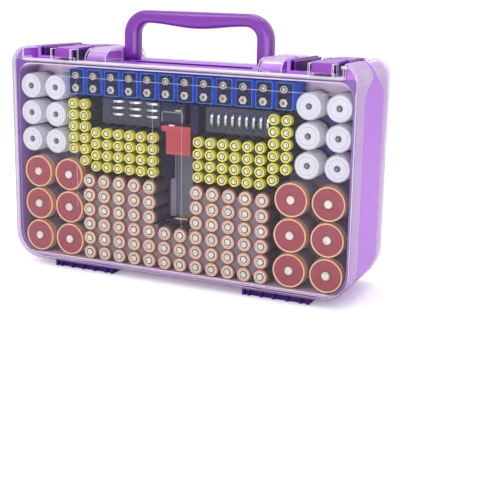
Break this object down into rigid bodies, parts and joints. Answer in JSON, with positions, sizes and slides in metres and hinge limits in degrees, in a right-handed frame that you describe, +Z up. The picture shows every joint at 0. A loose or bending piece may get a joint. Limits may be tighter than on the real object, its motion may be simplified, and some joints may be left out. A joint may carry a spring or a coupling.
{
  "type": "battery storage case",
  "caption": "Flat carry case for sorting batteries, with a clear latched lid on each face, a folding handle, shaped cell trays and a sliding battery tester.",
  "frame": {"origin": "centre of the case in plan, at the level of the surface it stands on", "axes": "+X to the right seen from the front, front face towards -Y, +Z up"},
  "size_m": [0.378, 0.11, 0.273],
  "materials": {
    "body": "smooth moulded purple plastic",
    "front_tray": "mauve-grey plastic",
    "back_tray": "lavender plastic",
    "lid": "clear glossy plastic",
    "handle": "smooth dark purple plastic",
    "latch": "smooth purple plastic",
    "hinge": "satin dark purple plastic",
    "pin": "plain steel wire",
    "tester_housing": "dark blue-grey plastic",
    "tester_meter": "glossy black window",
    "tester_slider": "ribbed red plastic",
    "tester_contact": "bright brass",
    "coin_cell": "bright metal",
    "aa_cell": "plain copper-coloured sleeve",
    "aaa_cell": "plain yellow sleeve",
    "c_cell": "plain white sleeve",
    "d_cell": "plain red sleeve",
    "block_cell": "plain blue sleeve",
    "long_cell": "plain amber sleeve",
    "photo_cell": "plain pale sleeve",
    "back_aa_cell": "plain dark sleeve with a copper end",
    "back_aaa_cell": "plain grey sleeve",
    "button_cell": "plain pale yellow sleeve",
    "remote_cell": "plain grey-blue sleeve",
    "green_cell": "plain green sleeve"
  },
  "bodies": {
    "case": {"body_frame": "body", "front_tray": "front_tray", "back_tray": "back_tray", "handle_pin_left": "pin", "handle_pin_right": "pin", "latch_pin_front_left": "pin", "latch_pin_front_right": "pin", "latch_pin_back_left": "pin", "latch_pin_back_right": "pin", "hinge_pin_front_left": "pin", "hinge_pin_front_right": "pin", "hinge_pin_back_left": "pin", "hinge_pin_back_right": "pin", "tester_housing": "tester_housing", "tester_meter": "tester_meter", "tester_contact": "tester_contact", "coin_cells_left": "coin_cell", "coin_cells_right": "coin_cell", "aa_cell_bank": "aa_cell", "aaa_cell_bank_left": "aaa_cell", "aaa_cell_bank_right": "aaa_cell", "c_cell_bank_left": "c_cell", "c_cell_bank_right": "c_cell", "d_cell_bank_left": "d_cell", "d_cell_bank_right": "d_cell", "block_cell_bank": "block_cell", "long_cell_bank_left": "long_cell", "long_cell_bank_right": "long_cell", "short_cell_bank_left": "photo_cell", "short_cell_bank_right": "photo_cell", "photo_cell_bank_left": "photo_cell", "photo_cell_bank_right": "photo_cell", "back_aa_bank_left": "back_aa_cell", "back_aa_bank_right": "back_aa_cell", "back_aaa_bank_left": "back_aaa_cell", "back_aaa_bank_right": "back_aaa_cell", "centre_cell_column": "button_cell", "remote_cell_row": "remote_cell", "middle_cell_rows_left": "green_cell", "middle_cell_rows_right": "green_cell", "lower_cell_row": "green_cell"},
    "front_cover": {"front_lid": "lid", "hinge_leaf_front_left": "hinge", "hinge_leaf_front_right": "hinge"},
    "back_cover": {"back_lid": "lid", "hinge_leaf_back_left": "hinge", "hinge_leaf_back_right": "hinge"},
    "carry_handle": {"handle": "handle"},
    "front_latch_left": {"latch_front_left": "latch"},
    "front_latch_right": {"latch_front_right": "latch"},
    "back_latch_left": {"latch_back_left": "latch"},
    "back_latch_right": {"latch_back_right": "latch"},
    "test_slider": {"tester_slider": "tester_slider"}
  },
  "joints": [
    {"name": "front_lid_hinge", "type": "hinge", "parent": "case", "child": "front_cover", "pos_m": [0, -0.03, 0.0036], "axis": [1, 0, 0], "range_deg": [0, 170]},
    {"name": "back_lid_hinge", "type": "hinge", "parent": "case", "child": "back_cover", "pos_m": [0, 0.03, 0.0036], "axis": [-1, 0, 0], "range_deg": [0, 170]},
    {"name": "handle_fold", "type": "hinge", "parent": "case", "child": "carry_handle", "pos_m": [0, 0, 0.2283], "axis": [1, 0, 0], "range_deg": [-85, 85]},
    {"name": "latch_lift_front_left", "type": "hinge", "parent": "case", "child": "front_latch_left", "pos_m": [-0.1285, -0.005, 0.2306], "axis": [-1, 0, 0], "range_deg": [0, 85]},
    {"name": "latch_lift_front_right", "type": "hinge", "parent": "case", "child": "front_latch_right", "pos_m": [0.1525, -0.005, 0.2306], "axis": [-1, 0, 0], "range_deg": [0, 85]},
    {"name": "latch_lift_back_left", "type": "hinge", "parent": "case", "child": "back_latch_left", "pos_m": [-0.1285, 0.005, 0.2306], "axis": [1, 0, 0], "range_deg": [0, 85]},
    {"name": "latch_lift_back_right", "type": "hinge", "parent": "case", "child": "back_latch_right", "pos_m": [0.1525, 0.005, 0.2306], "axis": [1, 0, 0], "range_deg": [0, 85]},
    {"name": "tester_slide", "type": "slide", "parent": "case", "child": "test_slider", "axis": [0, 0, -1], "range_m": [0, 0.035]}
  ]
}
